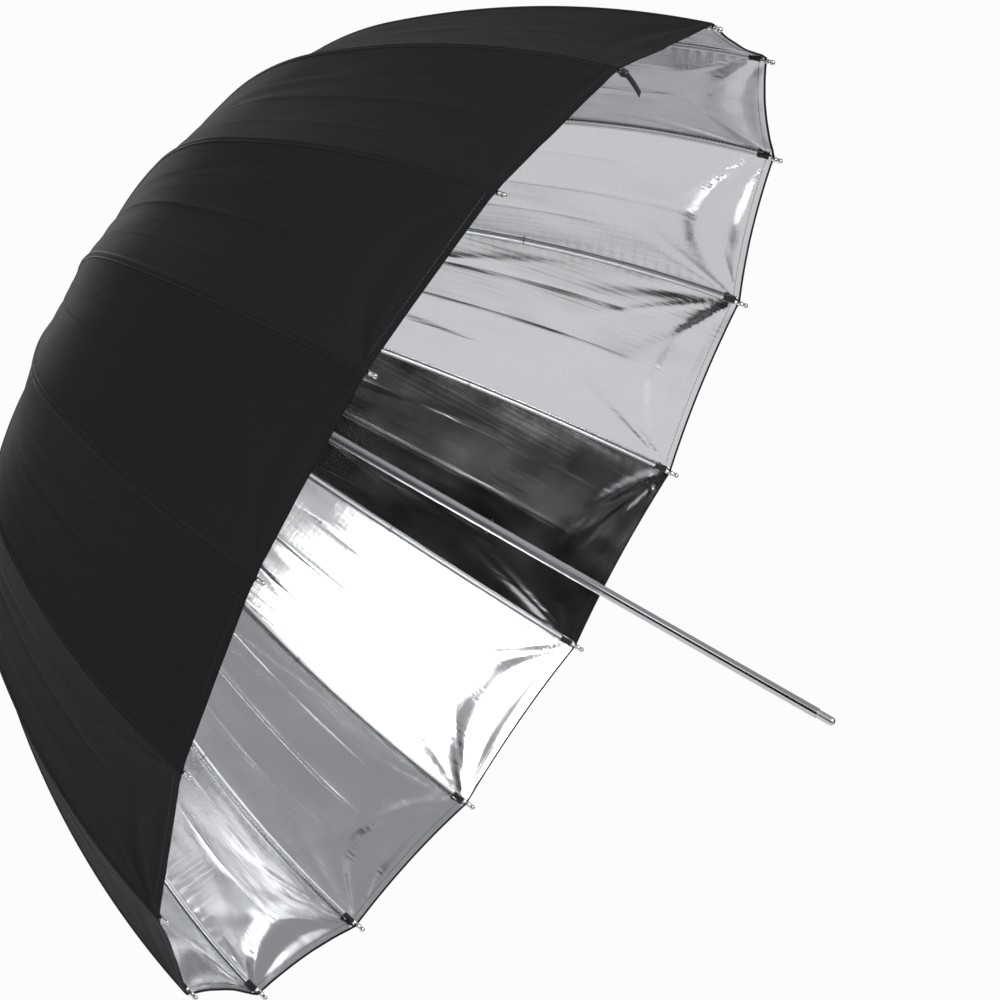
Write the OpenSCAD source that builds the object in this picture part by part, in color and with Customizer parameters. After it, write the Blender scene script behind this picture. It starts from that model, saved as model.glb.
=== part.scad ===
// Deep umbrella reflector: 16-rib folding frame on an 8 mm shaft with a sewn canopy.
// The shaft lies along Y with the open mouth towards -Y. Rib 1 points to -X and a rib points to +Z.
// Every part is first drawn about the shaft axis with Z running to the free end, then laid down by lay().

/* [Shaft] */
// Outer diameter of the steel shaft tube, mm
shaft_d = 8; // [7:0.5:10]
// Wall of the shaft tube, mm
shaft_wall = 1; // [0.8:0.1:1.2]
// Free end of the shaft past the grip point, mm
free_end = 179; // [120:1:260]
// Distance from the rim plane forward to the grip point, mm
grip_from_rim = 139; // [100:1:160]
// Length of the slimmer end plug that shows, mm
plug_show = 15; // [8:1:20]

/* [Rib curve] */
// Rib direction off the shaft axis at the crown pivot, degrees
crown_angle = 80; // [76:0.5:82]
// Rib direction where the flat crown arc meets the shoulder arc, degrees
shoulder_angle = 64; // [60:0.5:66]
// Rib direction where the shoulder arc meets the flank arc, degrees
flank_angle = 37.4; // [34:0.2:42]
// Rib direction at the rim, degrees
rim_angle = 15.6; // [12:0.2:20]
// Radius of the flat crown arc, mm
crown_arc = 832; // [780:1:880]
// Radius of the tight shoulder arc, mm
shoulder_arc = 200.5; // [180:0.5:220]
// Radius of the long flank arc, mm
flank_arc = 692.5; // [640:0.5:740]

/* [Folding frame] */
// Radius of the wire ring that the ribs turn on, mm
ring_r = 13; // [12.5:0.1:14]
// Length of the inner rib from the crown ring to its bracket, along its arc, mm
arm_len = 165; // [150:1:180]
// Direction of a folded inner rib off the shaft axis, degrees
folded_angle = 5; // [4:0.5:8]
// Diameter of the rib rods, mm
rod_d = 2.4; // [2:0.1:2.6]
// Length of the metal tip past the rim, mm
tip_out = 7; // [4:0.5:9]
// Length of the runner sleeve below its flange, mm
sleeve_len = 42; // [30:1:50]

/* [Canopy] */
// Gap from the rib centreline to the inside of the fabric, mm
canopy_gap = 3; // [2.8:0.1:4]
// Thickness of the canopy solid, mm
canopy_t = 0.8; // [0.6:0.1:1.2]
// Inward pull of a panel between two ribs, as a share of the rib spacing
panel_pull = 0.02; // [0:0.005:0.05]
// Depth of the curved hem between two rib tips, mm
hem_scallop = 3; // [0:1:12]

/* [Hidden] */
ribs = 16;
step_deg = 360 / ribs;
$fn = 64;
rim_z = -grip_from_rim;
shaft_r = shaft_d / 2;
bore_r = shaft_r - shaft_wall;
rod_r = rod_d / 2;

// Heights and widths gained along each arc of the rib curve
rise_a = crown_arc * (sin(crown_angle) - sin(shoulder_angle));
rise_b = shoulder_arc * (sin(shoulder_angle) - sin(flank_angle));
rise_c = flank_arc * (sin(flank_angle) - sin(rim_angle));
crown_z = rim_z - rise_a - rise_b - rise_c;

// Centres of the three arcs in the plane of a rib, as [radius, z]
ca = [ring_r - crown_arc * cos(crown_angle), crown_z + crown_arc * sin(crown_angle)];
cb = ca + (crown_arc - shoulder_arc) * [cos(shoulder_angle), -sin(shoulder_angle)];
cc = cb + (shoulder_arc - flank_arc) * [cos(flank_angle), -sin(flank_angle)];

// Point of the rib curve where its direction is q degrees, moved outwards by d
function centre_at(q) = q >= shoulder_angle ? ca : q >= flank_angle ? cb : cc;
function radius_at(q) = q >= shoulder_angle ? crown_arc : q >= flank_angle ? shoulder_arc : flank_arc;
function on_rib(q, d = 0) = centre_at(q) + (radius_at(q) + d) * [cos(q), -sin(q)];

// Knee of a rib: the bracket where inner rib, rod and stretcher meet
knee_angle = crown_angle - arm_len / crown_arc * 180 / PI;
knee = on_rib(knee_angle);
arm_chord = norm(knee - [ring_r, crown_z]);
open_angle = atan2(knee[0] - ring_r, knee[1] - crown_z);
runner_z = crown_z + 2 * arm_chord * cos(open_angle);
runner_travel = 2 * arm_chord * (cos(folded_angle) - cos(open_angle));
runner_end_z = runner_z + runner_travel;

// Eyes, cheeks and slots of the frame joints
wire_r = 0.6;
eye_r = 2;
eye_t = 1.6;
eye_bore = wire_r + 0.15;
slot_w = 2.1;
pin_r = 0.8;
pin_bore = pin_r + 0.1;
cheek_r = 1.9;
cheek_t = 0.8;
arm_gap = 1.9;
fork_gap = arm_gap + 2 * cheek_t + 0.4;
hub_r = 15.3;
slot_floor = 10.5;
runner_bore = shaft_r + 0.1;
sleeve_r = 8.2;
key_r = 6.9;
key_w = 2.8;
catch_turn = 11.25;
catch_z = runner_z + sleeve_len + 1.2;
catch_pin = [1.8, 30];
catch_pin_r = 0.5;
stop_z = runner_end_z + sleeve_len + 1.4;
groove_z = -75;
groove_w = 0.6;
groove_deep = 0.25;

// Names of the repeated parts
function two(n) = str(n < 10 ? "0" : "", n);

// Lays the shaft axis from Z to -Y
module lay() {
    rotate([90, 0, 0]) rotate([0, 0, 90]) children();
}

// Puts something drawn in the X-Z plane onto rib n
module on_side(n) {
    lay() rotate([0, 0, 90 + (n - 1) * step_deg]) children();
}

// Frame at a point [radius, z] with its Z along direction q and its X towards the fabric
module along(p, q) {
    translate([p[0], 0, p[1]]) rotate([0, q, 0]) children();
}

// Cylinder across the rib plane, centred
module across(r, h) {
    rotate([90, 0, 0]) cylinder(r = r, h = h, center = true);
}

// Round rod bent to part of an arc, from direction q0 to q1 about centre c
module bent_rod(c, arc, q0, q1, r) {
    translate([c[0], 0, c[1]]) rotate([90, 0, 0]) rotate([0, 0, -q0])
        rotate_extrude(angle = q0 - q1) translate([arc, 0]) circle(r = r);
}

// Notched disc with a wire groove, shared by the hub and the runner flange
module notched_disc(up, down) {
    difference() {
        translate([0, 0, -up]) cylinder(r = hub_r, h = up + down);
        rotate_extrude() translate([ring_r - 0.8, -0.78]) square([4, 1.56]);
        for (n = [1 : ribs])
            rotate([0, 0, 90 + (n - 1) * step_deg])
                translate([slot_floor, -slot_w / 2, -up - 1]) cube([8, slot_w, up + down + 2]);
    }
}

module wire_ring(z) {
    translate([0, 0, z]) rotate_extrude() translate([ring_r, 0]) circle(r = wire_r);
}

// Shaft: plain tube with a window for the catch, two cross holes and a scribed grip mark
module shaft_tube() {
    color("silver") lay() difference() {
        union() {
            difference() {
                translate([0, 0, crown_z - 12]) cylinder(r = shaft_r, h = free_end - plug_show - crown_z + 12);
                translate([0, 0, crown_z - 13]) cylinder(r = bore_r, h = free_end - plug_show - crown_z + 14);
            }
            rotate([0, 0, 180 + catch_turn]) translate([catch_pin[0], 0, catch_z + catch_pin[1]])
                across(catch_pin_r, 2 * bore_r + 0.6);
        }
        rotate([0, 0, 180 + catch_turn]) translate([2, -1.15, catch_z - 1]) cube([4, 2.3, 35]);
        translate([0, 0, crown_z + 8]) rotate([0, 90, 0]) cylinder(r = 1.03, h = 20, center = true);
        translate([0, 0, stop_z]) rotate([0, 90, 0]) cylinder(r = 1.03, h = 20, center = true);
        rotate_extrude() translate([shaft_r - groove_deep, groove_z - groove_w / 2]) square([1, groove_w]);
    }
}

// Slimmer closing plug with a rounded nose and a stem inside the tube
module shaft_end_plug() {
    color("gainsboro") lay() translate([0, 0, free_end - plug_show])
        rotate_extrude() polygon(concat(
            [[0, -14], [bore_r - 0.05, -14], [bore_r - 0.05, 0.05], [3.4, 0.05], [3.4, plug_show - 3]],
            [for (q = [15 : 15 : 90]) [0.4 + 3 * cos(q), plug_show - 3 + 3 * sin(q)]],
            [[0, plug_show]]
        ));
}

module crown_hub() {
    color("dimgray") lay() translate([0, 0, crown_z]) difference() {
        union() {
            notched_disc(2, 3.4);
            translate([0, 0, 3.3]) cylinder(r = 8, h = 9);
        }
        translate([0, 0, -5]) cylinder(r = shaft_r + 0.04, h = 30);
        translate([0, 0, 8]) rotate([0, 90, 0]) cylinder(r = 1.03, h = 20, center = true);
    }
}

module crown_hub_pin() {
    color("silver") lay() translate([0, 0, crown_z + 8]) rotate([0, 90, 0])
        cylinder(r = 1, h = 15.6, center = true);
}

module crown_ring() {
    color("silver") lay() wire_ring(crown_z);
}

// Turned cap over the top end of the shaft, outside the canopy
module crown_ferrule() {
    color("dimgray") lay() translate([0, 0, crown_z]) difference() {
        rotate_extrude() polygon(concat(
            [[0, -5.6], [10, -5.6], [10, -7.2], [6.6, -8.6]],
            [for (q = [0 : 15 : 90]) [0.6 + 6 * cos(q), -13 - 5 * sin(q)]],
            [[0, -18]]
        ));
        translate([0, 0, -12.5]) cylinder(r = shaft_r + 0.04, h = 8);
    }
}

// Directions at which the canopy is cut into bands, from the crown hole to the rim
bands = concat(
    [80.56, 79.4, 77.6, 75.6, 73.4, 71.1, 68.7, 66.3],
    [for (i = [0 : 5]) shoulder_angle - i * (shoulder_angle - flank_angle) / 6],
    [for (i = [0 : 5]) flank_angle - i * (flank_angle - rim_angle) / 5]
);
cuts = 4;
around = ribs * cuts;

// Canopy point j of band i, d outside the rib curve
function panel_dir(a, q) = [cos(q) * cos(a), cos(q) * sin(a), -sin(q)];
function chord_pt(i, f, a, d) = let (p = on_rib(bands[i], d)) [
    p[0] * ((1 - f) * cos(a) + f * cos(a + step_deg)),
    p[0] * ((1 - f) * sin(a) + f * sin(a + step_deg)),
    p[1]
];
function pull_at(i) = panel_pull * 2 * on_rib(bands[i])[0] * sin(step_deg / 2);
function hem_at(i) = i == len(bands) - 1 ? hem_scallop : 0;
function canopy_pt(i, j, d) = let (
    f = (j % cuts) / cuts,
    a = 90 + floor(j / cuts) * step_deg,
    bow = 4 * f * (1 - f)
) chord_pt(i, f, a, d) - bow * pull_at(i) * panel_dir(a + step_deg / 2, bands[i]) - [0, 0, bow * hem_at(i)];

// Canopy: one sewn sheet over the ribs, open at the mouth and with a small hole for the shaft
module canopy() {
    rows = len(bands);
    pts = concat(
        [for (i = [0 : rows - 1], j = [0 : around - 1]) canopy_pt(i, j, canopy_gap + canopy_t)],
        [for (i = [0 : rows - 1], j = [0 : around - 1]) canopy_pt(i, j, canopy_gap)]
    );
    inner = rows * around;
    skin = [for (i = [0 : rows - 2], j = [0 : around - 1]) let (
        a = i * around + j,
        b = i * around + (j + 1) % around,
        c = b + around,
        d = a + around
    ) each [[a, b, c], [a, c, d], [inner + a, inner + c, inner + b], [inner + a, inner + d, inner + c]]];
    top = [for (j = [0 : around - 1]) let (a = j, b = (j + 1) % around)
        each [[a, inner + a, inner + b], [a, inner + b, b]]];
    last = (rows - 1) * around;
    hem = [for (j = [0 : around - 1]) let (a = last + j, b = last + (j + 1) % around)
        each [[a, b, inner + b], [a, inner + b, inner + a]]];
    color("darkslategray") lay() polyhedron(points = pts, faces = concat(skin, top, hem));
}

module runner_stop_pin() {
    color("silver") lay() translate([0, 0, stop_z]) rotate([0, 90, 0])
        cylinder(r = 1, h = 11.4, center = true);
}

// Runner: notched flange and sleeve sliding on the shaft, with a key slot that clears the catch
module runner_sleeve() {
    color("black") lay() translate([0, 0, runner_z]) difference() {
        union() {
            notched_disc(3.2, 3.2);
            translate([0, 0, 3]) cylinder(r = sleeve_r, h = sleeve_len - 3);
            translate([0, 0, sleeve_len - 5]) cylinder(r = sleeve_r + 1.2, h = 5);
        }
        translate([0, 0, -6]) cylinder(r = runner_bore, h = sleeve_len + 12);
        rotate([0, 0, 180 + catch_turn]) translate([0, -key_w / 2, -6]) cube([key_r, key_w, sleeve_len + 12]);
    }
}

module runner_ring() {
    color("silver") lay() wire_ring(runner_z);
}

// Catch: spring blade inside the shaft whose tooth stands behind the open runner
module catch_spring() {
    color("gold") lay() rotate([0, 0, 180 + catch_turn]) translate([0, 0, catch_z]) difference() {
        rotate([90, 0, 0]) linear_extrude(height = 1.6, center = true) polygon([
            [1, 0], [6.2, 0], [6.2, 1.2], [3.5, 12], [3.5, 31], [2.6, 31.9], [1, 31.9], [0.2, 31], [0.2, 28]
        ]);
        translate([catch_pin[0], 0, catch_pin[1]]) across(catch_pin_r + 0.08, 4);
    }
}

// Inner rib: crown eye, rod bent to the crown arc, and a two-cheek bracket with the rivet
module rib_arm(n) {
    lead = 4.6 / crown_arc * 180 / PI;
    tail = 6.4 / crown_arc * 180 / PI;
    color("slategray") on_side(n) {
        difference() {
            union() {
                along([ring_r, crown_z], crown_angle) {
                    across(eye_r, eye_t);
                    translate([-1.2, -eye_t / 2, 0]) cube([2.4, eye_t, 5.6]);
                }
                bent_rod(ca, crown_arc, crown_angle - lead, knee_angle + tail, rod_r);
                along(knee, knee_angle) difference() {
                    union() {
                        translate([-1.5, -arm_gap / 2 - cheek_t, -7.4]) cube([3, arm_gap + 2 * cheek_t, 7.4]);
                        across(cheek_r, arm_gap + 2 * cheek_t);
                    }
                    translate([-3, -arm_gap / 2, -2.4]) cube([6, arm_gap, 6]);
                }
                along(knee, knee_angle) {
                    across(pin_r, fork_gap + 2 * cheek_t + 0.8);
                    for (s = [-1, 1]) translate([0, s * (fork_gap / 2 + cheek_t + 0.4), 0]) across(1.4, 0.5);
                }
            }
            along([ring_r, crown_z], crown_angle) across(eye_bore, 6);
        }
    }
}

// Outer rib: eye in the bracket, rod bent to the crown, shoulder and flank arcs, rounded metal tip
module rib_rod(n) {
    lead = 2.8 / crown_arc * 180 / PI;
    color("darkgray") on_side(n) difference() {
        union() {
            along(knee, knee_angle) {
                across(cheek_r, eye_t);
                translate([-1.2, -eye_t / 2, 0]) cube([2.4, eye_t, 4]);
            }
            bent_rod(ca, crown_arc, knee_angle - lead, shoulder_angle, rod_r);
            bent_rod(cb, shoulder_arc, shoulder_angle, flank_angle, rod_r);
            bent_rod(cc, flank_arc, flank_angle, rim_angle, rod_r);
            for (q = [shoulder_angle, flank_angle]) along(on_rib(q), q) sphere(r = rod_r + 0.1);
            along(on_rib(rim_angle), rim_angle) {
                translate([0, 0, -4]) cylinder(r = 1.7, h = tip_out + 2.3);
                translate([0, 0, tip_out - 1.7]) sphere(r = 1.7);
            }
        }
        along(knee, knee_angle) across(pin_bore, 6);
    }
}

// Stretcher: eye on the runner ring, flat bar, and a fork over the bracket rivet
module stretcher(n) {
    color("lightslategray") on_side(n) along([ring_r, runner_z], 180 - open_angle) mirror([1, 0, 0]) difference() {
        union() {
            across(eye_r, eye_t);
            translate([-1.5, -eye_t / 2, 0]) cube([3, eye_t, arm_chord - 9]);
            translate([-1.5, -fork_gap / 2 - cheek_t, arm_chord - 10]) cube([3, fork_gap + 2 * cheek_t, 2.6]);
            for (s = [-1, 1]) translate([0, s * (fork_gap + cheek_t) / 2, arm_chord]) {
                across(cheek_r, cheek_t);
                translate([-1.2, -cheek_t / 2, -9]) cube([2.4, cheek_t, 9]);
            }
        }
        across(eye_bore, 6);
        translate([0, 0, arm_chord]) across(pin_bore, 12);
    }
}

// Tie strap: a loop round one rib tip with a short tail that closes the folded canopy
module tie_strap() {
    color("black") on_side(14) along(on_rib(rim_angle), rim_angle) {
        difference() {
            union() {
                translate([0, 0, 1.6]) cylinder(r = 3.2, h = 1);
                translate([2, -2, 1.6]) cube([1.2, 4, 22]);
            }
            translate([0, 0, 1]) cylinder(r = 1.9, h = 2);
        }
    }
}

shaft_tube();
shaft_end_plug();
crown_hub();
crown_hub_pin();
crown_ring();
crown_ferrule();
canopy();
runner_stop_pin();
runner_sleeve();
runner_ring();
catch_spring();
tie_strap();
for (n = [1 : ribs]) {
    rib_arm(n);
    rib_rod(n);
    stretcher(n);
}
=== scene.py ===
import math

import bmesh
import bpy
import numpy as np
from mathutils import Matrix, Vector


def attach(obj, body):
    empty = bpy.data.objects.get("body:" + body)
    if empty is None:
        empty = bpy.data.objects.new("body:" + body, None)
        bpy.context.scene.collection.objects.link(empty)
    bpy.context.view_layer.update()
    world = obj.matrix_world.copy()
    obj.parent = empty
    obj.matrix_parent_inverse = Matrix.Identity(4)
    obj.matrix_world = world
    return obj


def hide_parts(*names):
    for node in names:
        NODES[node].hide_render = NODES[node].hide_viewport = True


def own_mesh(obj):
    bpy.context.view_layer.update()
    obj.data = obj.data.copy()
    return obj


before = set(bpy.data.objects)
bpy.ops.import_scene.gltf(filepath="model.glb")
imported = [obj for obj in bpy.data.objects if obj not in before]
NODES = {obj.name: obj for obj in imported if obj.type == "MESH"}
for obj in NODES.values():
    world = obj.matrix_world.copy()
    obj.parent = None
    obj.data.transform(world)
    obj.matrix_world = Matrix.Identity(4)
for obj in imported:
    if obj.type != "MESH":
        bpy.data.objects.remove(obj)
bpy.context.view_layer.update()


# ---------------------------------------------------------------------------
# Studio
# A pale floor far below the umbrella runs on as the backdrop. A broad soft key
# stands high on the left of the mouth, and weaker fills stand behind. An arc of
# black flags on the camera's side gives the silver lining a dark thing to mirror.
# ---------------------------------------------------------------------------

def linear(code):
    """An sRGB hex colour as linear RGBA."""
    parts = [int(code[i:i + 2], 16) / 255 for i in (1, 3, 5)]
    return [c / 12.92 if c <= 0.04045 else ((c + 0.055) / 1.055) ** 2.4 for c in parts] + [1.0]


def add(tree, kind, settings=(), **links):
    """Adds a node with its settings and its inputs' values or links. The keyword i6 is input number 6."""
    node = tree.nodes.new(kind)
    for key, value in dict(settings).items():
        setattr(node, key, value)
    for key, value in links.items():
        where = int(key[1:]) if key[0] == "i" and key[1:].isdigit() else key.replace("_", " ")
        socket = node.inputs[where]
        if isinstance(value, bpy.types.NodeSocket):
            tree.links.new(value, socket)
        else:
            socket.default_value = value
    return node


def new_material(name):
    """An empty material, its node tree and its output."""
    made = bpy.data.materials.new(name)
    made.use_nodes = True
    tree = made.node_tree
    tree.nodes.clear()
    out = tree.nodes.new("ShaderNodeOutputMaterial")
    return made, tree, out


FLOOR_Z = -1.3
FLOOR_SIZE = 60.0
FLAG_R = 3.2
FLAG_LOW, FLAG_HIGH = -1.25, 1.7
# the flags stand side by side in two runs, with a gap between that lets light in
FLAG_DEG = 16
FLAG_STARTS = [*range(162, 258, FLAG_DEG), *range(286, 334, FLAG_DEG)]
# a long lens on the left of the mouth and a little above it
CAMERA_AT = (-4.2078, -1.1624, 1.1695)
CAMERA_LENS = 214.5

scene = bpy.context.scene
scene.view_settings.view_transform = "Standard"

camera_data = bpy.data.cameras.new("camera")
camera = bpy.data.objects.new("camera", camera_data)
scene.collection.objects.link(camera)
right = Vector((0.36883, -0.83323, 0.41194)).normalized()
ahead = Vector((0.92485, 0.28472, -0.25218)).normalized()
above = right.cross(ahead).normalized()
camera.matrix_world = Matrix.Translation(CAMERA_AT) @ Matrix((right, above, -ahead)).transposed().to_4x4()
camera_data.sensor_width = 36.0
camera_data.lens = CAMERA_LENS
camera_data.clip_end = 200.0
scene.camera = camera

world = bpy.data.worlds.new("studio")
scene.world = world
world.use_nodes = True
tree = world.node_tree
tree.nodes.clear()
room = add(tree, "ShaderNodeBackground", Color=linear("#d4d5d7"), Strength=0.56)
white = add(tree, "ShaderNodeBackground", Color=linear("#ffffff"), Strength=1.0)
seen = add(tree, "ShaderNodeLightPath")
mixed = add(tree, "ShaderNodeMixShader", i0=seen.outputs["Is Camera Ray"], i1=room.outputs[0],
            i2=white.outputs[0])
world_out = tree.nodes.new("ShaderNodeOutputWorld")
tree.links.new(mixed.outputs[0], world_out.inputs[0])


def softbox(name, place, target, side, watts):
    """A square softbox at a place, facing a target."""
    data = bpy.data.lights.new(name, "AREA")
    data.shape = "RECTANGLE"
    data.size = data.size_y = side
    data.energy = watts
    lamp = bpy.data.objects.new(name, data)
    scene.collection.objects.link(lamp)
    lamp.location = place
    lamp.rotation_mode = "QUATERNION"
    lamp.rotation_quaternion = (Vector(target) - Vector(place)).to_track_quat("-Z", "Y")


softbox("key_softbox", (-1.6, -1.5, 2.2), (0.1, 0.2, 0.0), 1.5, 75)
softbox("back_fill", (2.4, 3.6, 0.0), (0.0, 0.3, 0.0), 1.6, 45)
softbox("outside_fill", (-2.6, 1.6, 1.6), (0.0, 0.3, 0.0), 1.8, 15)


def flat_stage(name, corners, shader):
    """A flat part of the studio from its corners."""
    mesh = bpy.data.meshes.new(name)
    mesh.from_pydata(corners, [], [tuple(range(len(corners)))])
    thing = bpy.data.objects.new(name, mesh)
    scene.collection.objects.link(thing)
    mesh.materials.append(shader)
    return thing


# matt white paint: an even pale ground that throws soft light up into the canopy
pale, tree, out = new_material("pale_studio_floor")
painted = add(tree, "ShaderNodeBsdfPrincipled", Base_Color=linear("#d2d2d3"), Roughness=0.9,
              Emission_Color=linear("#ffffff"), Emission_Strength=0.3)
lit = add(tree, "ShaderNodeEmission", Color=linear("#fcfcfc"), Strength=1.0)
seen = add(tree, "ShaderNodeLightPath")
shown = add(tree, "ShaderNodeMixShader", i0=seen.outputs["Is Camera Ray"], i1=painted.outputs[0],
            i2=lit.outputs[0])
tree.links.new(shown.outputs[0], out.inputs[0])
half = FLOOR_SIZE / 2
flat_stage("floor", [(x * half, y * half, FLOOR_Z) for x, y in ((-1, -1), (1, -1), (1, 1), (-1, 1))], pale)

# deep black cloth that gives back nothing, seen only in the silver
black_cloth, tree, out = new_material("black_flag_cloth")
cloth = add(tree, "ShaderNodeBsdfDiffuse", Color=linear("#020202"), Roughness=1.0)
tree.links.new(cloth.outputs[0], out.inputs[0])
for number, start in enumerate(FLAG_STARTS):
    near, far = [(FLAG_R * math.cos(math.radians(turn)), FLAG_R * math.sin(math.radians(turn)))
                 for turn in (start, start + FLAG_DEG)]
    corners = [(*near, FLAG_LOW), (*far, FLAG_LOW), (*far, FLAG_HIGH), (*near, FLAG_HIGH)]
    flag = flat_stage(f"flag_{number}", corners, black_cloth)
    flag.visible_camera = False
    flag.visible_diffuse = False
    flag.visible_shadow = False


# ---------------------------------------------------------------------------
# Shaft, end plug, cross pins and catch
# A drawn steel tube, buffed and nickel plated, closed by a turned aluminium
# plug that is pressed in. The cross pins, the wire rings and the blade of the
# catch are spring wire.
# ---------------------------------------------------------------------------

def dress(names, material):
    """Gives CAD nodes a material."""
    for name in names:
        mesh = NODES[name].data
        mesh.materials.clear()
        mesh.materials.append(material)


SMUDGE_MM = 18


def metal(name, colour, rough, lines_mm, depth_mm, stretch=(1, 0.02, 1)):
    """A worked metal with fine lines drawn along Y. Lines are drawn coarser than real ones so they show."""
    made, tree, out = new_material(name)
    place = add(tree, "ShaderNodeTexCoord")
    scale = add(tree, "ShaderNodeMapping", Vector=place.outputs["Object"], Scale=stretch)
    lines = add(tree, "ShaderNodeTexNoise", Vector=scale.outputs[0], Scale=1000 / lines_mm, Detail=3.0)
    smudge = add(tree, "ShaderNodeTexNoise", Vector=place.outputs["Object"], Scale=1000 / SMUDGE_MM,
                 Detail=4.0)
    both = add(tree, "ShaderNodeMath", {"operation": "ADD"}, i0=lines.outputs[0], i1=smudge.outputs[0])
    dull = add(tree, "ShaderNodeMapRange", Value=both.outputs[0], From_Min=0.6, From_Max=1.4,
               To_Min=rough * 0.75, To_Max=rough * 1.3)
    bump = add(tree, "ShaderNodeBump", Height=lines.outputs[0], Strength=0.25, Distance=depth_mm / 1000)
    body = add(tree, "ShaderNodeBsdfPrincipled", Base_Color=linear(colour), Metallic=1.0,
               Roughness=dull.outputs[0], Normal=bump.outputs[0])
    tree.links.new(body.outputs[0], out.inputs[0])
    return made


# plated after buffing: a bright mirror, broken a little by long polishing lines
buffed_steel = metal("buffed_nickel_plated_steel", "#c9cacc", 0.13, 0.7, 0.02)
# turned and left satin: paler than the tube, with a broad soft highlight
turned_aluminium = metal("turned_satin_aluminium", "#d2d3d4", 0.3, 0.5, 0.03, (1, 1, 1))
# drawn and unplated: a darker, duller grey
spring_wire = metal("drawn_spring_wire", "#a9aaad", 0.28, 0.4, 0.02)
dress(["shaft_tube"], buffed_steel)
dress(["shaft_end_plug"], turned_aluminium)
dress(["crown_hub_pin", "crown_ring", "runner_stop_pin", "runner_ring", "catch_spring"], spring_wire)


# ---------------------------------------------------------------------------
# Crown hub, ferrule and runner
# Injection-moulded black nylon. The hub is pinned to the shaft, the ferrule
# is pushed over its top end, and the runner slides on it.
# ---------------------------------------------------------------------------

# a fine spark-eroded grain, a little shinier where hands and ribs have rubbed it
moulded_nylon, tree, out = new_material("moulded_black_nylon")
place = add(tree, "ShaderNodeTexCoord")
grain = add(tree, "ShaderNodeTexNoise", Vector=place.outputs["Object"], Scale=1000 / 0.9, Detail=2.0)
rubbed = add(tree, "ShaderNodeTexNoise", Vector=place.outputs["Object"], Scale=1000 / 14, Detail=3.0)
dull = add(tree, "ShaderNodeMapRange", Value=rubbed.outputs[0], From_Min=0.3, From_Max=0.7,
           To_Min=0.38, To_Max=0.55)
bump = add(tree, "ShaderNodeBump", Height=grain.outputs[0], Strength=0.3, Distance=0.00006)
nylon = add(tree, "ShaderNodeBsdfPrincipled", Base_Color=linear("#1b1b1c"), Roughness=dull.outputs[0],
            IOR=1.53, Normal=bump.outputs[0])
tree.links.new(nylon.outputs[0], out.inputs[0])
dress(["crown_hub", "crown_ferrule", "runner_sleeve"], moulded_nylon)


# ---------------------------------------------------------------------------
# Ribs and stretchers
# The inner ribs and stretchers are plated steel, threaded on the wire rings of
# the hub and the runner. The springy outer rods are painted glass fibre and
# end in a metal tip at the rim.
# ---------------------------------------------------------------------------

RIBS = 16
STEP = math.radians(360 / RIBS)
tags = [f"{number:02d}" for number in range(1, RIBS + 1)]

# zinc plate: a satin grey with small cloudy patches
plated_steel = metal("zinc_plated_rib_steel", "#a7a9ac", 0.3, 0.6, 0.03, (1, 1, 1))
dress([f"rib_arm_{tag}" for tag in tags] + [f"stretcher_{tag}" for tag in tags], plated_steel)

# silver-grey paint over drawn fibre: half way to metal, with faint cloudy patches
fibre_rod, tree, out = new_material("painted_glass_fibre_rod")
place = add(tree, "ShaderNodeTexCoord")
cloudy = add(tree, "ShaderNodeTexNoise", Vector=place.outputs["Object"], Scale=1000 / 6, Detail=4.0)
shade = add(tree, "ShaderNodeMix", {"data_type": "RGBA"}, i0=cloudy.outputs[0], i6=linear("#c2c4c6"),
            i7=linear("#dcdddf"))
paint = add(tree, "ShaderNodeBsdfPrincipled", Base_Color=shade.outputs[2], Metallic=0.35, Roughness=0.3)
tree.links.new(paint.outputs[0], out.inputs[0])
dress([f"rib_rod_{tag}" for tag in tags], fibre_rod)


# ---------------------------------------------------------------------------
# Canopy
# Sixteen tapered gores of black ripstop polyester, coated silver inside, are
# cut to the curve of the ribs and sewn edge to edge. Tension draws each gore
# nearly flat across, with fold creases along it and fans of pull at the tips.
# ---------------------------------------------------------------------------

# a rib is three arcs in millimetres, and the degrees are its slope at their ends
CROWN_DEG, SHOULDER_DEG, FLANK_DEG, RIM_DEG = 80.0, 64.0, 37.4, 15.6
CROWN_ARC, SHOULDER_ARC, FLANK_ARC = 832.0, 200.5, 692.5
# radius of the crown's wire ring, the plane of the rim, and the rib's length to its bracket
RING_R = 13.0
RIM_Z = -139.0
ARM_LEN = 165.0
# the cloth's lift over the rib, its thickness, and the thickness and width of the folded hem
FABRIC_LIFT = 2.9
FABRIC_T = 0.5
HEM_T = 1.3
HEM_W = 9.0
# how far a gore is drawn in across its width, and how much shorter it is cut in its middle
PULL = 0.02
HEM_CURVE = 3.0
# packing creases as a share across the gore and a height
CREASES = ((0.5, 0.75), (0.27, 0.3), (0.77, 0.4))
# lines of pull at each tip, how far in the slack lies, and the spacing of gathers and of puckers
PULL_LINES = 3
SLACK_IN = 38
GATHER = 3.9
PUCKER = 9.5
# a random wave starts anywhere in one turn, in radians
FULL_TURN = 6.3


def turned(degrees):
    """Unit step outwards and along the axis for a rib direction, as (r, z)."""
    slope = np.radians(degrees)
    return np.stack([np.cos(slope), -np.sin(slope)], axis=-1)


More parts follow.
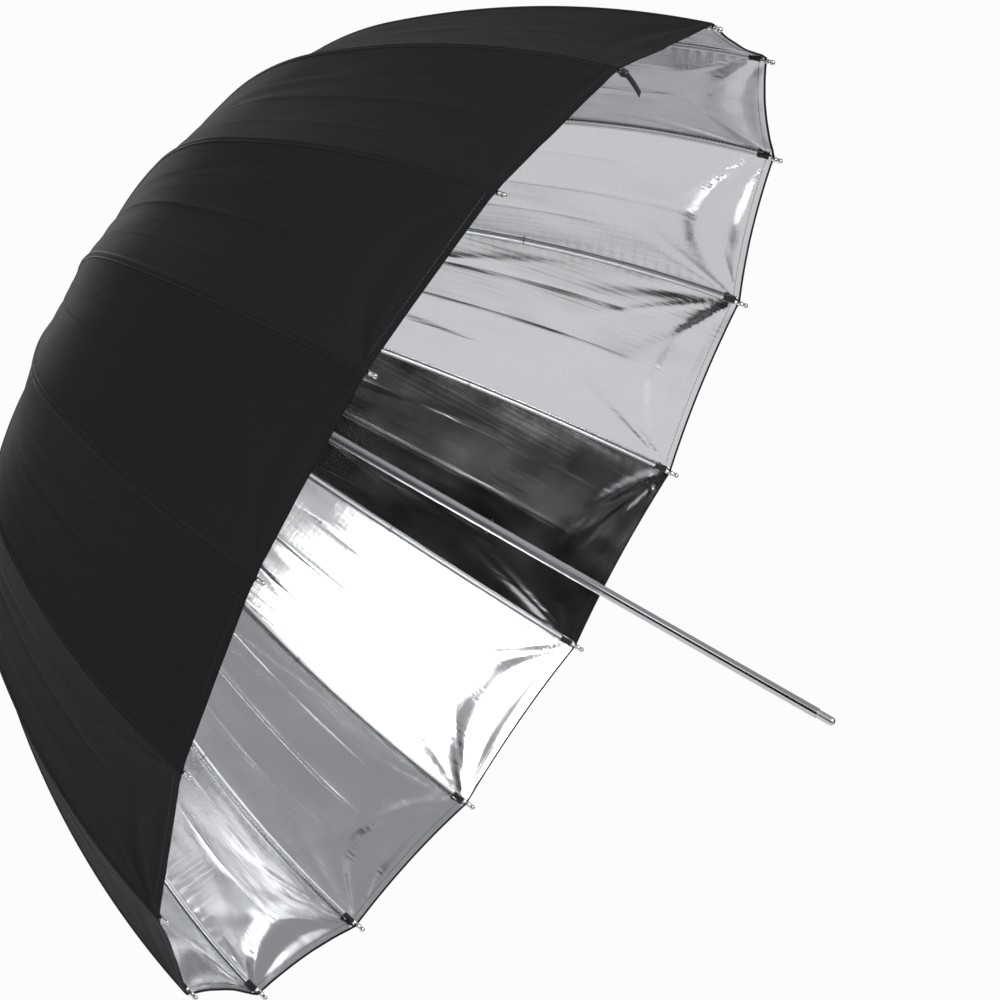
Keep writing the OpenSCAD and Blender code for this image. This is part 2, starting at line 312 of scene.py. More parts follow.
RIB_ARCS = ((CROWN_ARC, CROWN_DEG, SHOULDER_DEG), (SHOULDER_ARC, SHOULDER_DEG, FLANK_DEG),
            (FLANK_ARC, FLANK_DEG, RIM_DEG))
crown_z = RIM_Z - sum(arc * (math.sin(math.radians(start)) - math.sin(math.radians(end)))
                      for arc, start, end in RIB_ARCS)
crown_centre = np.array([RING_R, crown_z]) - CROWN_ARC * turned(CROWN_DEG)
shoulder_centre = crown_centre + (CROWN_ARC - SHOULDER_ARC) * turned(SHOULDER_DEG)
flank_centre = shoulder_centre + (SHOULDER_ARC - FLANK_ARC) * turned(FLANK_DEG)
CROWN_LEN = CROWN_ARC * math.radians(CROWN_DEG - SHOULDER_DEG)
SHOULDER_LEN = SHOULDER_ARC * math.radians(SHOULDER_DEG - FLANK_DEG)
RIB_LEN = CROWN_LEN + SHOULDER_LEN + FLANK_ARC * math.radians(FLANK_DEG - RIM_DEG)


def rib_curve(length, lift=0.0):
    """Points (r, z) in mm at a length along the rib from the crown ring, lifted outwards, and its slope."""
    length = np.asarray(length, float)
    past_crown, past_shoulder = length - CROWN_LEN, length - CROWN_LEN - SHOULDER_LEN
    slope = np.where(length < CROWN_LEN, CROWN_DEG - np.degrees(length / CROWN_ARC),
                     np.where(length < CROWN_LEN + SHOULDER_LEN,
                              SHOULDER_DEG - np.degrees(past_crown / SHOULDER_ARC),
                              FLANK_DEG - np.degrees(past_shoulder / FLANK_ARC)))
    crown, shoulder = (length < CROWN_LEN)[..., None], (length < CROWN_LEN + SHOULDER_LEN)[..., None]
    centre = np.where(crown, crown_centre, np.where(shoulder, shoulder_centre, flank_centre))
    arc = np.where(crown, CROWN_ARC, np.where(shoulder, SHOULDER_ARC, FLANK_ARC))
    return centre + (arc + np.asarray(lift)[..., None]) * turned(slope), slope


def rib_turn(number):
    """Angle of a rib about the shaft, so that rib 1 points to -X and rib 13 straight up."""
    return math.radians(90) + (number - 1) * STEP


def to_row(x, y, z):
    """Millimetres about the shaft, with z towards the free end, to metres in the frame."""
    return np.stack([-y, -z, x], axis=-1) / 1000


def bump_at(x, centre, width):
    """A smooth bump of height 1."""
    return np.exp(-((x - centre) / width) ** 2)


def ramp(x, low, high):
    """A smooth step from 0 at low to 1 at high."""
    t = np.clip((x - low) / (high - low), 0, 1)
    return t * t * (3 - 2 * t)


def gore_width(length):
    """Width in mm of a taut gore at a length along its ribs."""
    return 2 * rib_curve(length, FABRIC_LIFT)[0][..., 0] * math.sin(STEP / 2)


def wrinkles(number, length, share):
    """Height in mm of a gore's folds and creases at a length along it and a share across it."""
    rng = np.random.default_rng(1600 + number)
    width = gore_width(length)
    across, rim = share * width, RIB_LEN - length
    edge = np.minimum(across, width - across)
    bow = 4 * share * (1 - share)
    height = np.zeros(np.broadcast(length, share).shape)
    # fold lines left by packing, straight down the gore and gone before the hem
    for at, deep in CREASES:
        side = rng.choice([-1, 1])
        start = rng.uniform(20, 70)
        stop = rng.uniform(30, 60) if at == 0.5 else rng.uniform(50, 120)
        track = (at + rng.uniform(-0.018, 0.018)) * width
        crease = side * deep * np.exp(-np.abs(across - track) / 2.2)
        height += crease * ramp(length, start, start + 90) * ramp(rim, stop, stop + 45)
    # pull lines fanning out of each tip
    for off in (across, width - across):
        reach, lean = np.hypot(off, rim), np.degrees(np.arctan2(off, rim + 1e-6))
        for _ in range(PULL_LINES):
            at, spread = rng.uniform(10, 74), rng.uniform(2.2, 4.5)
            tall, far = rng.uniform(0.25, 0.8), rng.uniform(22, 44)
            swell = tall * bump_at(lean, at, spread) * (reach / far) * np.exp(1 - reach / far)
            height += rng.choice([-1, 1]) * swell
    # the slack just inside the taut hem, a trough and a ridge that run from tip to tip
    line = (SLACK_IN + rng.uniform(-6, 8)) * bow ** 0.8
    lean = rng.choice([-1, 1]) * rng.uniform(0.35, 0.6)
    grip = np.clip(1 + lean * (2 * share - 1) * 1.5, 0.2, 1.8) * bow ** 0.5
    height += -1.25 * bump_at(rim, line, 5 + 5 * bow) * grip
    height += 0.8 * bump_at(rim, 0.45 * line, 4 + 3 * bow) * grip
    # close gathers where the slack meets the fold
    height += 0.16 * np.sin(math.tau * across / GATHER) * bump_at(rim, line + 7, 6) * grip * bow
    # the hem is stiffer than the cloth and stands out a little
    height += 0.8 * np.clip(1 - rim / HEM_W, 0, 1) ** 1.5
    # buckles across the tight curve of the shoulder
    mid = CROWN_LEN + SHOULDER_LEN * 0.55
    tall, waves, phase = rng.uniform(0.12, 0.28), rng.uniform(3.0, 4.5), rng.random()
    over = bump_at(length, mid + rng.uniform(-12, 12), 34)
    height += tall * np.cos(math.tau * (share * waves + phase)) * over * bow
    for _ in range(3):
        lean = rng.uniform(-0.22, 0.22)
        track = width * (0.5 + lean * (1 + (length - mid) / 150))
        tall = rng.choice([-1, 1]) * rng.uniform(0.2, 0.45)
        height += tall * bump_at(across, track, 3.2) * bump_at(length, mid + 50, 80)
    # slow unevenness of the cloth
    for wide, tall in ((64, 0.26), (34, 0.12)):
        over = np.sin(math.tau * across / wide + rng.uniform(0, FULL_TURN))
        down = np.sin(math.tau * length / (wide * 3.1) + rng.uniform(0, FULL_TURN))
        height += tall * over * down * np.sqrt(bow)
    # puckers drawn up by the seam thread
    height += 0.24 * np.sin(math.tau * length / PUCKER + rng.uniform(0, FULL_TURN)) * np.exp(-edge / 7)
    return height * ramp(edge, 3.4, 10)


def gore_base(number, length, share):
    """A gore drawn taut, in metres at lengths along it and shares across it, with its outward direction."""
    bow = 4 * share * (1 - share)
    # the hem of a gore is cut to a shallow curve, so its middle is a little shorter
    along = length - HEM_CURVE * bow * ramp(length, RIB_LEN - 170, RIB_LEN)
    ribs, slope = rib_curve(along, np.full(along.shape, FABRIC_LIFT))
    first, last = rib_turn(number), rib_turn(number + 1)
    r, z = ribs[..., 0], ribs[..., 1]
    slope = np.radians(slope)
    middle = (first + last) / 2
    pull = bow * PULL * 2 * r * math.sin(STEP / 2)
    out_x, out_y = np.cos(slope) * math.cos(middle), np.cos(slope) * math.sin(middle)
    points = to_row(r * ((1 - share) * math.cos(first) + share * math.cos(last)) - pull * out_x,
                    r * ((1 - share) * math.sin(first) + share * math.sin(last)) - pull * out_y,
                    z + pull * np.sin(slope))
    return points, to_row(out_x, out_y, -np.sin(slope)) * 1000


def gore_grid(number, length, share):
    """Middle surface of a gore in metres on a grid of lengths and shares, and its outward normals."""
    points, out = gore_base(number, length, share)
    points = points + out * (wrinkles(number, length, share) / 1000)[..., None]
    down, over = np.gradient(points, axis=0), np.gradient(points, axis=1)
    normals = np.cross(over, down)
    normals /= np.linalg.norm(normals, axis=-1, keepdims=True)
    normals *= np.sign((normals * out).sum(-1, keepdims=True))
    return points, normals


def mesh_piece(name, points, faces, materials, picks=None):
    """A smooth mesh object from points in metres, with a pick of material for each face."""
    mesh = bpy.data.meshes.new(name)
    mesh.from_pydata([tuple(point) for point in points], [], faces)
    for material in materials:
        mesh.materials.append(material)
    if picks is not None:
        mesh.polygons.foreach_set("material_index", picks)
    mesh.polygons.foreach_set("use_smooth", [True] * len(mesh.polygons))
    mesh.update()
    made = bpy.data.objects.new(name, mesh)
    scene.collection.objects.link(made)
    return made


def grid_faces(rows, cols, first=0, flip=False):
    """Quads of a rows by cols grid of points."""
    faces = []
    for i in range(rows - 1):
        for a in range(first + i * cols, first + (i + 1) * cols - 1):
            quad = (a, a + 1, a + 1 + cols, a + cols)
            faces.append(quad[::-1] if flip else quad)
    return faces


def cloth_shell(name, outer, inner, materials, flat, lined=False, normals=None):
    """A closed thin sheet from two grids of points. Inner quads that lined picks take the second material."""
    rows, cols = outer.shape[:2]
    points = np.concatenate([outer.reshape(-1, 3), inner.reshape(-1, 3)])
    size = rows * cols
    faces = grid_faces(rows, cols) + grid_faces(rows, cols, size, True)
    quads = (rows - 1) * (cols - 1)
    picks = [0] * quads + np.broadcast_to(lined, (rows - 1, cols - 1)).ravel().astype(int).tolist()
    rim = ([(0, j) for j in range(cols)] + [(i, cols - 1) for i in range(1, rows)]
           + [(rows - 1, j) for j in range(cols - 2, -1, -1)] + [(i, 0) for i in range(rows - 2, 0, -1)])
    loop = [i * cols + j for i, j in rim]
    for a, b in zip(loop, loop[1:] + loop[:1]):
        faces.append((b, a, size + a, size + b))
        picks.append(0)
    made = mesh_piece(name, points, faces, materials, picks)
    mesh = made.data
    layer = mesh.uv_layers.new(name="cloth")
    corners = np.zeros(len(mesh.loops), np.int32)
    mesh.loops.foreach_get("vertex_index", corners)
    uv = np.concatenate([flat.reshape(-1, 2)] * 2)[corners]
    layer.data.foreach_set("uv", uv.astype(np.float32).ravel())
    if normals is not None:
        both = np.concatenate([normals.reshape(-1, 3), -normals.reshape(-1, 3)])
        mesh.normals_split_custom_set_from_vertices(both.tolist())
    return made


THREAD_MM = 1.7
RIPSTOP_MM = 5.0


def woven(name, colour, silver):
    """Plain weave with a heavier thread every 5 mm. Its 0.3 mm threads are drawn coarser so they show."""
    made, tree, out = new_material(name)
    place = add(tree, "ShaderNodeUVMap", {"uv_map": "cloth"})
    drawn = add(tree, "ShaderNodeMapping", Vector=place.outputs[0], Scale=(1.0, 0.03, 1.0))
    streak = add(tree, "ShaderNodeTexNoise", Vector=drawn.outputs[0], Scale=1000 / 3.5, Detail=3.0)
    split = add(tree, "ShaderNodeSeparateXYZ", Vector=place.outputs[0])

    def wave(axis, period_mm, power):
        turn = add(tree, "ShaderNodeMath", {"operation": "MULTIPLY"}, i0=split.outputs[axis],
                   i1=2000 * math.pi / period_mm)
        swing = add(tree, "ShaderNodeMath", {"operation": "SINE"}, i0=turn.outputs[0])
        part = add(tree, "ShaderNodeMath", {"operation": "MULTIPLY_ADD"}, i0=swing.outputs[0], i1=0.5, i2=0.5)
        return add(tree, "ShaderNodeMath", {"operation": "POWER"}, i0=part.outputs[0], i1=power).outputs[0]

    def join(how, a, b):
        return add(tree, "ShaderNodeMath", {"operation": how}, i0=a, i1=b).outputs[0]

    weave = join("MULTIPLY", wave(0, THREAD_MM, 1.0), wave(1, THREAD_MM, 1.0))
    ripstop = join("MAXIMUM", wave(0, RIPSTOP_MM, 30.0), wave(1, RIPSTOP_MM, 30.0))
    fine = add(tree, "ShaderNodeTexNoise", Vector=place.outputs[0], Scale=1000 / 1.6, Detail=2.0)
    slow = add(tree, "ShaderNodeTexNoise", Vector=place.outputs[0], Scale=1000 / 55, Detail=3.0)
    rough = join("ADD", ripstop, join("MULTIPLY", fine.outputs[0], 0.9))
    relief = join("ADD", join("MULTIPLY", weave, 0.5), rough)
    if silver:
        threads = add(tree, "ShaderNodeBump", Height=relief, Strength=0.13, Distance=0.0001)
        bump = add(tree, "ShaderNodeBump", Height=streak.outputs[0], Strength=0.3, Distance=0.0004,
                   Normal=threads.outputs[0])
        dull = add(tree, "ShaderNodeMapRange", Value=slow.outputs[0], From_Min=0.3, From_Max=0.7,
                   To_Min=0.14, To_Max=0.22)
        tint = add(tree, "ShaderNodeMix", {"data_type": "RGBA"}, i0=ripstop, i6=linear(colour),
                   i7=linear("#cfd0d2"))
        body = add(tree, "ShaderNodeBsdfPrincipled", Base_Color=tint.outputs[2], Metallic=1.0,
                   Roughness=dull.outputs[0], Normal=bump.outputs[0])
    else:
        threads = add(tree, "ShaderNodeBump", Height=relief, Strength=0.5, Distance=0.00016)
        bump = add(tree, "ShaderNodeBump", Height=streak.outputs[0], Strength=0.3, Distance=0.0005,
                   Normal=threads.outputs[0])
        blend = join("MULTIPLY_ADD", relief, 0.5)
        tint = add(tree, "ShaderNodeMix", {"data_type": "RGBA"}, i0=blend, i6=linear(colour),
                   i7=linear("#222224"))
        body = add(tree, "ShaderNodeBsdfPrincipled", Base_Color=tint.outputs[2], Roughness=0.72,
                   Specular_IOR_Level=0.09, Normal=bump.outputs[0])
    tree.links.new(body.outputs[0], out.inputs[0])
    return made


# dyed cloth: a flat deep black with a faint grid and hardly any shine
black_ripstop = woven("black_ripstop_polyester", "#0c0c0d", False)
# vacuum-metallised coating: a soft mirror that the threads break into small sparkles
silver_coating = woven("aluminised_ripstop_lining", "#d3d4d6", True)

# rows of points along a gore stand closer in the creased cloth near the hem
row_marks = np.unique(np.round(np.concatenate([
    np.arange(0, ARM_LEN, 5.0), [ARM_LEN], np.arange(ARM_LEN, RIB_LEN - 150, 3.6),
    np.arange(RIB_LEN - 150, RIB_LEN - HEM_W - 1, 2.3),
    [RIB_LEN - rim for rim in (HEM_W + 0.9, HEM_W, 6, 3, 1.6, 0.5, 0)]]), 3))
# and across it they stand closer at the seams and at the packing creases
half_marks = np.concatenate([[0, 0.008, 0.022, 0.042, 0.062], np.arange(0.078, 0.25, 0.0158),
                             np.arange(0.262, 0.5, 0.0245)])
fold_marks = [at + off for at, _ in CREASES for off in (-0.03, -0.012, 0, 0.012, 0.03)]
share_marks = np.unique(np.round(np.concatenate([half_marks, 1 - half_marks, fold_marks]), 4))

knee, _ = rib_curve(ARM_LEN)
crown_point = np.array([RING_R, crown_z])
rim_point, _ = rib_curve(RIB_LEN)
# fold settings for the parts of a gore, of which only the tilt is read: the tilt of the squash in degrees,
# the share it keeps, the ends of the rib's chord, and how far outside that chord the squash starts
INNER_FOLD = dict(tilt=-6.0, keep=0.19, start=crown_point, stop=knee, off=3.0)
OUTER_FOLD = dict(tilt=-17.0, keep=0.2, start=knee, stop=rim_point, off=25.0)


def gather(piece, number, fold):
    """Gives a piece its own copy of its mesh; the fold's tilt and the rib's turn are read, but nothing is
    gathered.
    """
    lean, turn = math.radians(fold["tilt"]), rib_turn(number)

    def place(r, side, z):
        across, up = r * math.cos(turn) - side * math.sin(turn), r * math.sin(turn) + side * math.cos(turn)
        return to_row(across, up, z)

    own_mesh(piece)


def half_thickness(length):
    """Half the cloth's thickness in metres, with the step up to the folded hem and its rounded edge."""
    thick = FABRIC_T + (HEM_T - FABRIC_T) * ramp(length, RIB_LEN - HEM_W - 0.9, RIB_LEN - HEM_W)
    return (thick - 0.7 * ramp(length, RIB_LEN - 1.6, RIB_LEN)) / 2000


# the roll of the hem shows black for its last millimetres inside
HEM_ROLL = 1.5
gores = []
bracket_row = int(np.argmin(abs(row_marks - ARM_LEN)))
length, share = np.meshgrid(row_marks, share_marks, indexing="ij")
half_t = half_thickness(length)[..., None]
flat = np.stack([(share - 0.5) * gore_width(length), length], axis=-1) / 1000
for number, tag in enumerate(tags, 1):
    middle, normals = gore_grid(number, length, share)
    gores.append((middle, normals))
    for part, bone, rows, fold in (("inner", "arm", slice(0, bracket_row + 1), INNER_FOLD),
                                   ("outer", "rod", slice(bracket_row, None), OUTER_FOLD)):
        inside = (row_marks[rows][1:] < RIB_LEN - HEM_ROLL)[:, None]
        gore = cloth_shell(f"gore_{part}_{tag}", (middle + normals * half_t)[rows],
                           (middle - normals * half_t)[rows], [black_ripstop, silver_coating], flat[rows],
                           inside, normals[rows])
        down, over = np.diff(middle[rows], axis=0)[:, :-1], np.diff(middle[rows], axis=1)[:-1]
        wide, long = float(np.ptp(flat[rows][..., 0])), float(np.ptp(flat[rows][..., 1]))
        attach(gore, f"{bone}_{tag}")
        gather(gore, number, fold)
        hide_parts("canopy")


# ---------------------------------------------------------------------------
# Seams
# Neighbouring gores are joined over each rib with a felled seam: a flat black
# fold outside, a narrow turned allowance inside, and two rows of lockstitch.
# ---------------------------------------------------------------------------

FELL = 3.4
FELL_EDGE = 0.25
STITCH = 3.2
STITCH_LEN = 2.3
THREAD_R = 0.2
# the cloth's direction turns from one gore to the next over this much each side
TURN_OVER = 2.2


def seam_points(number, length, side, lift):
    """Points over a rib at a length along it, a distance to either side of the seam and a lift, in mm."""
    width = gore_width(length)
    before, out_before = gore_base((number - 2) % RIBS + 1, length, np.clip(1 + side / width, 0, 1))
    after, out_after = gore_base(number, length, np.clip(side / width, 0, 1))
    blend = ((1 + np.clip(side / TURN_OVER, -1, 1)) / 2)[..., None]
    out = out_before * (1 - blend) + out_after * blend
    out /= np.linalg.norm(out, axis=-1, keepdims=True)
    return np.where((side < 0)[..., None], before, after) + out * ((lift - FABRIC_LIFT) / 1000)[..., None]


def thread_group():
    """Short closed thread pieces laid along every edge string of a mesh."""
    group = bpy.data.node_groups.new("sewn_thread", "GeometryNodeTree")
    sockets = (("Geometry", "NodeSocketGeometry", "INPUT"), ("Pitch", "NodeSocketFloat", "INPUT"),
               ("Length", "NodeSocketFloat", "INPUT"), ("Radius", "NodeSocketFloat", "INPUT"),
               ("Material", "NodeSocketMaterial", "INPUT"), ("Geometry", "NodeSocketGeometry", "OUTPUT"))
    for label, kind, way in sockets:
        group.interface.new_socket(name=label, in_out=way, socket_type=kind)
    start, end = add(group, "NodeGroupInput"), add(group, "NodeGroupOutput")
    curve = add(group, "GeometryNodeMeshToCurve", Mesh=start.outputs["Geometry"])
    even = add(group, "GeometryNodeResampleCurve", {"mode": "LENGTH"}, Curve=curve.outputs[0],
               Length=start.outputs["Pitch"])
    rod = add(group, "GeometryNodeMeshCylinder", Vertices=5, Radius=start.outputs["Radius"],
              Depth=start.outputs["Length"])
    heading = add(group, "FunctionNodeAlignRotationToVector", {"axis": "Z"},
                  Vector=add(group, "GeometryNodeInputTangent").outputs[0])
    laid = add(group, "GeometryNodeInstanceOnPoints", Points=even.outputs[0], Instance=rod.outputs[0],
               Rotation=heading.outputs[0])
    real = add(group, "GeometryNodeRealizeInstances", Geometry=laid.outputs[0])
    done = add(group, "GeometryNodeSetMaterial", Geometry=real.outputs[0], Material=start.outputs["Material"])
    group.links.new(done.outputs[0], end.inputs[0])
    return group


sewn_thread = thread_group()

# a smooth waxed thread that catches small highlights
black_thread, tree, out = new_material("waxed_black_thread")
place = add(tree, "ShaderNodeTexCoord")
ply = add(tree, "ShaderNodeTexNoise", Vector=place.outputs["Object"], Scale=1000 / 0.8, Detail=1.0)
bump = add(tree, "ShaderNodeBump", Height=ply.outputs[0], Strength=0.4, Distance=0.0001)
thread = add(tree, "ShaderNodeBsdfPrincipled", Base_Color=linear("#1a1a1b"), Roughness=0.45,
             Normal=bump.outputs[0])
tree.links.new(thread.outputs[0], out.inputs[0])


def sew(name, strings):
    """A piece of black stitches along strings of points, in metres."""
    points, edges = [], []
    for string in strings:
        edges += [(len(points) + i, len(points) + i + 1) for i in range(len(string) - 1)]
        points += [tuple(point) for point in string]
    mesh = bpy.data.meshes.new(name + "_path")
    mesh.from_pydata(points, edges, [])
    made = bpy.data.objects.new(name, mesh)
    scene.collection.objects.link(made)
    live = made.modifiers.new("sewn", "NODES")
    live.node_group = sewn_thread
    values = {"Pitch": STITCH / 1000, "Length": STITCH_LEN / 1000, "Radius": THREAD_R / 1000,
              "Material": black_thread}
    for item in sewn_thread.interface.items_tree:
        if item.in_out == "INPUT" and item.name in values:
            live[item.identifier] = values[item.name]
    shape = bpy.data.meshes.new_from_object(made.evaluated_get(bpy.context.evaluated_depsgraph_get()))
    made.modifiers.clear()
    made.data = shape
    shape.name = name
    return made


# sections through the seam: places across it, and the lift of the cloth above the rib there
fell_marks = np.array([-FELL - FELL_EDGE, -FELL, -2.9, -2.3, -1.2, -0.5, 0, 0.5, 1.2, 2.3, 2.9, FELL,
                       FELL + FELL_EDGE])
fell_lift = np.array([3.05, 3.4, 3.62, 3.4, 3.66, 3.8, 3.66, 3.4, 3.66, 3.4, 3.62, 3.4, 3.05])
FELL_UNDER = 3.02
turned_marks = np.array([-3.2, -3.1, -2.5, -2.2, -1.1, 0, 1.1, 2.2, 2.5, 3.1, 3.2])
turned_lift = np.array([2.7, 2.4, 2.15, 2.25, 2.15, 2.1, 2.15, 2.25, 2.15, 2.4, 2.7])
TURNED_TOP = 2.78
# rows of thread as a place across the seam and a lift
THREAD_ROWS = ((-2.35, 3.5), (2.35, 3.5), (-2.9, 2.24), (2.9, 2.24))
seam_rows = np.concatenate([np.arange(8, ARM_LEN, 5.0), [ARM_LEN], np.arange(ARM_LEN + 4, RIB_LEN - 2, 4.2),
                            [RIB_LEN - 1.4]])
seam_bracket_row = int(np.argmin(abs(seam_rows - ARM_LEN)))
# the allowance is silver inside but for its two cut edges
silver_part = abs(turned_marks[:-1] + turned_marks[1:]) < 6.1
# near the crown the gores are narrower than the seam, so it narrows too
narrow = np.minimum(1, 0.42 * gore_width(seam_rows) / (FELL + FELL_EDGE))[:, None]
fell_len = seam_rows[:, None] * np.ones(len(fell_marks))
turned_len = seam_rows[:, None] * np.ones(len(turned_marks))
for number, tag in enumerate(tags, 1):
    rng = np.random.default_rng(4100 + number)
    pucker = 0.1 * np.sin(math.tau * fell_len / PUCKER + rng.uniform(0, FULL_TURN)) * (abs(fell_marks) > 1)
    top = seam_points(number, fell_len, fell_marks * narrow, fell_lift + pucker)
    under = seam_points(number, fell_len, fell_marks * narrow, np.full(fell_len.shape, FELL_UNDER))
    face = seam_points(number, turned_len, turned_marks * narrow, np.full(turned_len.shape, TURNED_TOP))
    turned_in = seam_points(number, turned_len, turned_marks * narrow, turned_lift + 0 * turned_len)
    # the last stitch stops short of the bracket, and of the sleeve inside the hem
    for part, bone, rows, stop in (("inner", "arm", slice(0, seam_bracket_row + 1), 1),
                                   ("outer", "rod", slice(seam_bracket_row, None), 12)):
        flat = np.stack([fell_marks + 0 * fell_len, fell_len], axis=-1)[rows] / 1000
        fell = cloth_shell(f"seam_{part}_{tag}", top[rows], under[rows], [black_ripstop], flat)
        flat = np.stack([turned_marks + 0 * turned_len, turned_len], axis=-1)[rows] / 1000
        allowance = cloth_shell(f"allowance_{part}_{tag}", face[rows], turned_in[rows],
                                [black_ripstop, silver_coating], flat, silver_part)
        fine = np.arange(seam_rows[rows][0] + 2, seam_rows[rows][-1] - stop, 3.0)
        strings = [seam_points(number, fine, np.full(fine.shape, side) * np.minimum(1, gore_width(fine) / 10),
                               np.full(fine.shape, lift)) for side, lift in THREAD_ROWS]
        stitches = sew(f"seam_stitches_{part}_{tag}", strings)
        for piece in (fell, allowance, stitches):
            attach(piece, f"{bone}_{tag}")
        for piece in (fell, allowance):
            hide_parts("canopy")


# ---------------------------------------------------------------------------
# Hem stitching
# One row of lockstitch holds the rolled hem, six millimetres in from the
# edge, and shows both outside and inside.
# ---------------------------------------------------------------------------

HEM_STITCH_IN = 6
hem_row = int(np.argmin(abs(row_marks - (RIB_LEN - HEM_STITCH_IN))))
thread_gap = (HEM_T / 2 + 0.05) / 1000
for number, (tag, (middle, normals)) in enumerate(zip(tags, gores), 1):
    row, face = middle[hem_row][3:-3], normals[hem_row][3:-3]
    stitches = sew(f"hem_stitches_{tag}", [row + face * thread_gap, row - face * thread_gap])
    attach(stitches, f"rod_{tag}")
    gather(stitches, number, OUTER_FOLD)


# ---------------------------------------------------------------------------
# Crown rosette
# A round patch of the same black cloth, hemmed and sewn over the point where
# all sixteen gores meet, and clamped under the ferrule.
# ---------------------------------------------------------------------------

def loops(sections, ring=False):
    """Points and faces of a closed tube through loops of points, capped at its ends or joined in a ring."""
    count, around = sections.shape[:2]
    faces = []
    for i in range(count if ring else count - 1):
        for j in range(around):
            k, m = (j + 1) % around, (i + 1) % count
            faces.append((i * around + j, i * around + k, m * around + k, m * around + j))
    if not ring:
        faces += [tuple(range(around - 1, -1, -1)), tuple((count - 1) * around + j for j in range(around))]
    return sections.reshape(-1, 3), faces


def joined(name, parts, material):
    """One piece from several closed shells, with every face turned outwards."""
    points, faces = [], []
    for part_points, part_faces in parts:
        faces += [tuple(len(points) + i for i in face) for face in part_faces]
        points += [tuple(point) for point in part_points]
    made = mesh_piece(name, points, faces, [material])
    shape = bmesh.new()
    shape.from_mesh(made.data)
    bmesh.ops.recalc_face_normals(shape, faces=shape.faces)
    shape.to_mesh(made.data)
    shape.free()
    return made


PATCH_STEPS = 144
PATCH_HOLE, PATCH_R = 4.3, 18.4
PATCH_STITCH_R, PATCH_STITCH_LIFT = 16.2, 4.22
# a section through the patch: its radii, and the lift of its upper and lower face
patch_r = np.array([PATCH_HOLE, 6.5, 9.0, 11.0, 13.0, 14.6, 15.6, PATCH_STITCH_R, 16.8, 17.8, PATCH_R])
patch_over = np.array([5.25, 5.25, 5.2, 4.55, 4.25, 4.25, 4.25, 4.1, 4.25, 4.25, 3.9])
patch_under = np.array([4.5, 4.5, 4.4, 3.9, 3.6, 3.6, 3.6, 3.6, 3.6, 3.6, 3.5])


def patch_point(r, lift, angle):
    """A point of the patch, which dips between the ribs with the gores beneath it."""
    base, _ = rib_curve(np.array(max(r - RING_R, 0)), np.array(lift))
    z = crown_z - lift if r < 10 else base[1]
    off = (angle - rib_turn(1)) % STEP - STEP / 2
    out = r * (1 + (math.cos(STEP / 2) / math.cos(off) - 1) * min(1, max(0, (r - 8) / 6)))
    return to_row(np.array(out * math.cos(angle)), np.array(out * math.sin(angle)), np.array(z))


sections = []
for step in range(PATCH_STEPS):
    angle = step * math.tau / PATCH_STEPS
    ripple = 0.12 * math.sin(9.0 * angle + 0.7) + 0.08 * math.sin(23.0 * angle + 2.0)
    sections.append([patch_point(r, lift + ripple * (r > 10), angle)
                     for r, lift in [*zip(patch_r, patch_over), *zip(patch_r[::-1], patch_under[::-1])]])
rosette = joined("crown_rosette", [loops(np.array(sections), ring=True)], black_ripstop)
layer = rosette.data.uv_layers.new(name="cloth")
for corner in rosette.data.loops:
    spot = rosette.data.vertices[corner.vertex_index].co
    layer.data[corner.index].uv = (spot.x, spot.z)
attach(rosette, "shaft")
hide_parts("canopy")
ring = np.array([patch_point(PATCH_STITCH_R, PATCH_STITCH_LIFT, step * math.tau / PATCH_STEPS)
                 for step in range(PATCH_STEPS + 1)])
stitches = sew("rosette_stitches", [ring])
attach(stitches, "shaft")


# ---------------------------------------------------------------------------
# Rod tips
# Each rod ends in a turned, nickel-plated cap with a ball, a waist and a
# second ball. A sleeve of black tape sewn inside the hem holds the rod there.
# ---------------------------------------------------------------------------

def on_rib_line(number, length, lift, side):
    """Points near a rib at a length along it, a lift above it and a distance to its side, in mm."""
    points, _ = rib_curve(np.asarray(length, float), np.asarray(lift, float))
    (r, z), turn = np.moveaxis(points, -1, 0), rib_turn(number)
    return to_row(r * math.cos(turn) - side * math.sin(turn), r * math.sin(turn) + side * math.cos(turn), z)


def sleeve(number, stations, around):
    """A closed tube round a rib from (length, centre lift, half height, half width) stations."""
    turn = np.arange(around) * math.tau / around
    return loops(np.array([on_rib_line(number, np.full(around, length), lift + high * np.cos(turn),
                                       wide * np.sin(turn)) for length, lift, high, wide in stations]))


# woven tape: flat black with a fuzzy grain
black_tape, tree, out = new_material("black_polyester_tape")
place = add(tree, "ShaderNodeTexCoord")
weft = add(tree, "ShaderNodeTexNoise", Vector=place.outputs["Object"], Scale=1000 / 1.1, Detail=3.0)
bump = add(tree, "ShaderNodeBump", Height=weft.outputs[0], Strength=0.5, Distance=0.0002)
tape = add(tree, "ShaderNodeBsdfPrincipled", Base_Color=linear("#19191a"), Roughness=0.75, Sheen_Weight=0.15,
           Normal=bump.outputs[0])
tree.links.new(tape.outputs[0], out.inputs[0])

# nickel on turned brass: a small bright bead with sharp highlights
plated_tip = metal("bright_nickel_tip", "#d6d6d5", 0.16, 0.5, 0.01, (1, 1, 1))
